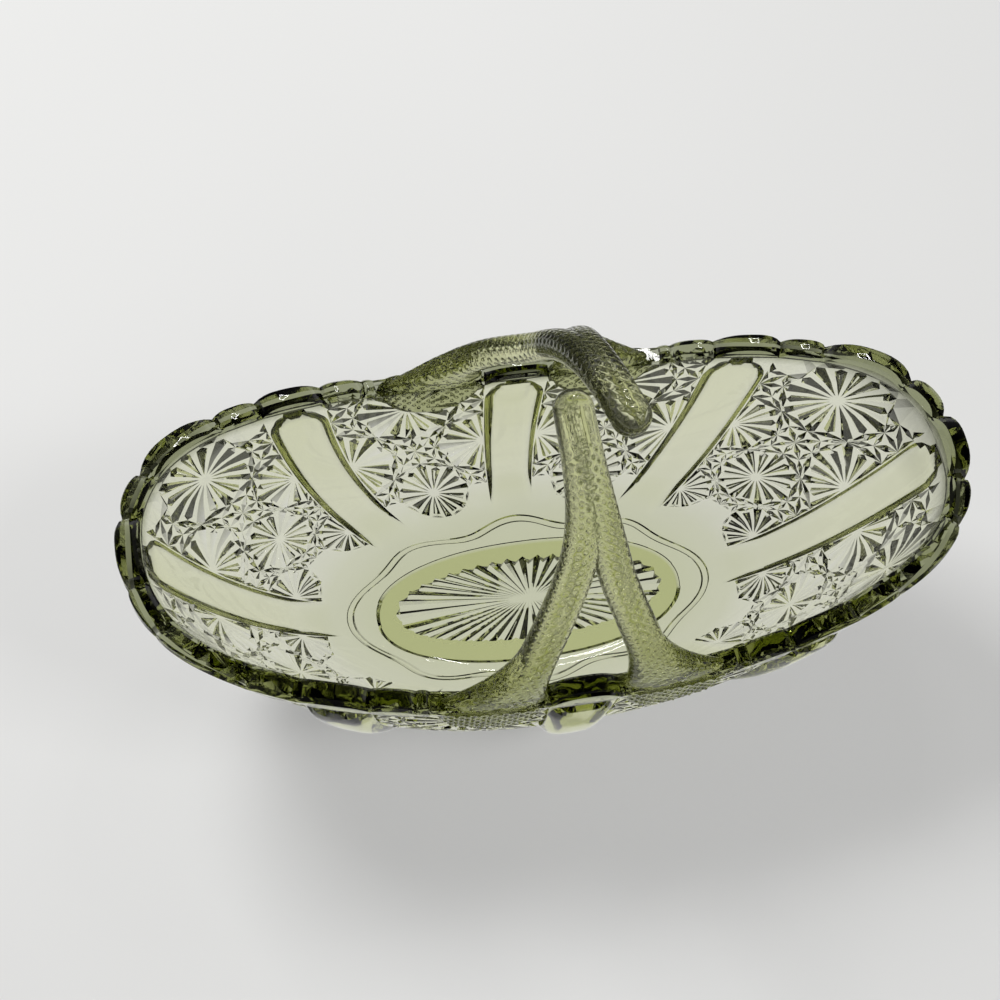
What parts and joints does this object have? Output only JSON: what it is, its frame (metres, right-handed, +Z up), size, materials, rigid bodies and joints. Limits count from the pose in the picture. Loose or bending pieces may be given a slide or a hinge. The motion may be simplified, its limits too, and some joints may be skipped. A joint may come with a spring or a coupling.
{
  "type": "glass basket",
  "caption": "Boat-shaped pressed-glass table basket with star-patterned panels, plain flutes, a scalloped rim, a star base and a two-armed handle.",
  "frame": {"origin": "middle of the foot ring, on the table", "axes": "+X along the bowl's length, -Y towards the viewer in the picture's near side, +Z up"},
  "size_m": [0.2604, 0.1184, 0.161],
  "materials": {
    "wall_glass": "clear pale olive-green pressed glass, star pattern on the outside, fire polished",
    "base_glass": "clear olive-green glass, thick, with a pressed ray star underneath",
    "rim_glass": "clear olive-green glass, polished, deep in colour where it is seen edge on",
    "handle_glass": "clear olive-green glass with a fine hobnail outside and smooth tips"
  },
  "bodies": {
    "root": {"foot_ring": "base_glass", "star_base": "base_glass", "scalloped_rim": "rim_glass", "flute_end_right": "wall_glass", "flute_back_right": "wall_glass", "flute_back": "wall_glass", "flute_back_left": "wall_glass", "flute_end_left": "wall_glass", "flute_front_left": "wall_glass", "flute_front": "wall_glass", "flute_front_right": "wall_glass", "panel_right_back": "wall_glass", "panel_back_right": "wall_glass", "panel_back_left": "wall_glass", "panel_left_back": "wall_glass", "panel_left_front": "wall_glass", "panel_front_left": "wall_glass", "panel_front_right": "wall_glass", "panel_right_front": "wall_glass", "leg_back_left": "handle_glass", "leg_back_right": "handle_glass", "leg_front_left": "handle_glass", "leg_front_right": "handle_glass", "stem_back": "handle_glass", "stem_front": "handle_glass"}
  },
  "joints": []
}
